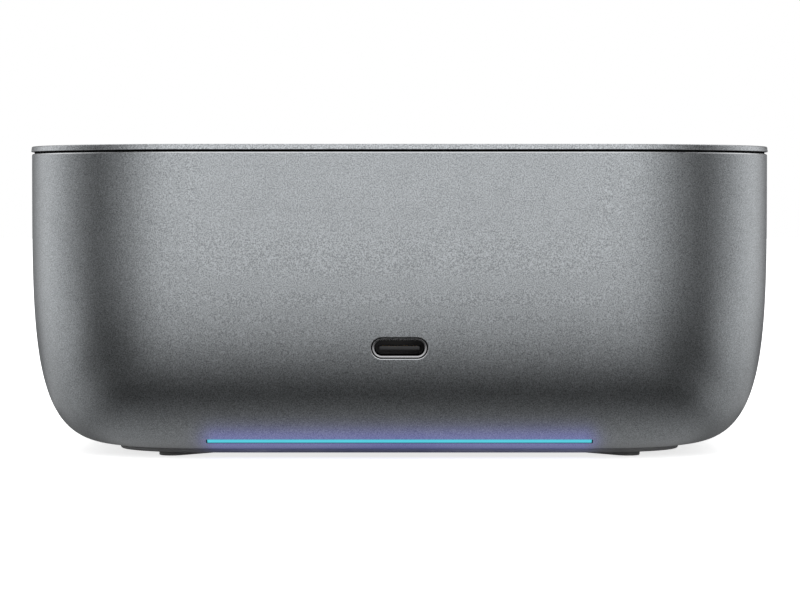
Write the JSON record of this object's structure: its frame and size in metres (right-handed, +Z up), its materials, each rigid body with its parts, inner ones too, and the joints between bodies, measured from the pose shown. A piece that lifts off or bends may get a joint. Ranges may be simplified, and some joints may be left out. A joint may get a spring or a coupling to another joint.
{
  "type": "laptop docking station",
  "caption": "Square bowl-shaped aluminium docking station with round corners, a front port and light bar, a rear panel of ports, a power button on top and a cooling fan inside.",
  "frame": {"origin": "on the surface that the dock stands on, under the middle of its housing", "axes": "+Z up, -Y towards the front with the light bar, +X to the right seen from the front"},
  "size_m": [0.1258, 0.1258, 0.0522],
  "materials": {
    "blasted_aluminium": "bead-blasted and anodised grey, fine grain",
    "black_plastic": "fine matt black moulding",
    "base_plastic": "matt dark grey moulding",
    "foot_rubber": "matt black rubber",
    "light_guide": "translucent light guide, lit cyan",
    "port_steel": "plated steel",
    "port_insulator": "moulded insulator",
    "contact_gold": "gold-plated contact",
    "circuit_board": "green solder mask",
    "screw_steel": "plain steel",
    "standoff_brass": "turned brass",
    "chip_epoxy": "moulded epoxy",
    "thermal_pad": "soft silicone pad",
    "sink_aluminium": "extruded aluminium",
    "bearing_bronze": "sintered bronze",
    "lead_film": "flat flexible film"
  },
  "bodies": {
    "dock": {"housing_shell": "blasted_aluminium", "top_plate": "blasted_aluminium", "top_frame": "black_plastic", "base_plate": "base_plastic", "foot_front_left": "foot_rubber", "foot_front_right": "foot_rubber", "foot_rear_left": "foot_rubber", "foot_rear_right": "foot_rubber", "base_screw_front_left": "screw_steel", "base_screw_front_right": "screw_steel", "base_screw_rear_left": "screw_steel", "base_screw_rear_right": "screw_steel", "light_guide": "light_guide", "light_board": "circuit_board", "light_lead": "lead_film", "front_port_shell": "port_steel", "front_port_tongue": "port_insulator", "rear_panel": "black_plastic", "power_inlet": "black_plastic", "power_inlet_pin": "contact_gold", "host_port_shell": "port_steel", "host_port_tongue": "port_insulator", "device_port_shell": "port_steel", "device_port_tongue": "port_insulator", "video_port_a_shell": "port_steel", "video_port_a_tongue": "port_insulator", "video_port_b_shell": "port_steel", "video_port_b_tongue": "port_insulator", "network_jack": "black_plastic", "network_jack_contacts": "contact_gold", "peripheral_port_1_shell": "port_steel", "peripheral_port_1_tongue": "port_insulator", "peripheral_port_2_shell": "port_steel", "peripheral_port_2_tongue": "port_insulator", "peripheral_port_3_shell": "port_steel", "peripheral_port_3_tongue": "port_insulator", "main_board": "circuit_board", "port_board": "circuit_board", "board_link_header": "black_plastic", "board_link_socket": "black_plastic", "board_screw_front_left": "screw_steel", "board_screw_front_right": "screw_steel", "standoff_rear_left": "standoff_brass", "standoff_rear_right": "standoff_brass", "port_board_screw_rear_left": "screw_steel", "port_board_screw_rear_right": "screw_steel", "controller_chip": "chip_epoxy", "thermal_pad": "thermal_pad", "heat_sink": "sink_aluminium", "fan_frame": "black_plastic", "fan_bearing": "bearing_bronze", "fan_stator": "sink_aluminium", "fan_lead": "lead_film", "tact_switch": "black_plastic", "button_board": "circuit_board", "button_lead": "lead_film"},
    "power_button": {"power_button": "blasted_aluminium", "switch_plunger": "port_insulator"},
    "fan_rotor": {"fan_rotor": "black_plastic", "fan_shaft": "screw_steel"}
  },
  "joints": [
    {"name": "power_button_press", "type": "slide", "parent": "dock", "child": "power_button", "axis": [0, 0, -1], "range_m": [0, 0.0005], "stiffness_N_per_m": 800},
    {"name": "fan_spin", "type": "hinge", "parent": "dock", "child": "fan_rotor", "pos_m": [0, -0.01218, 0.03092], "axis": [0, 0, 1], "continuous": true}
  ]
}
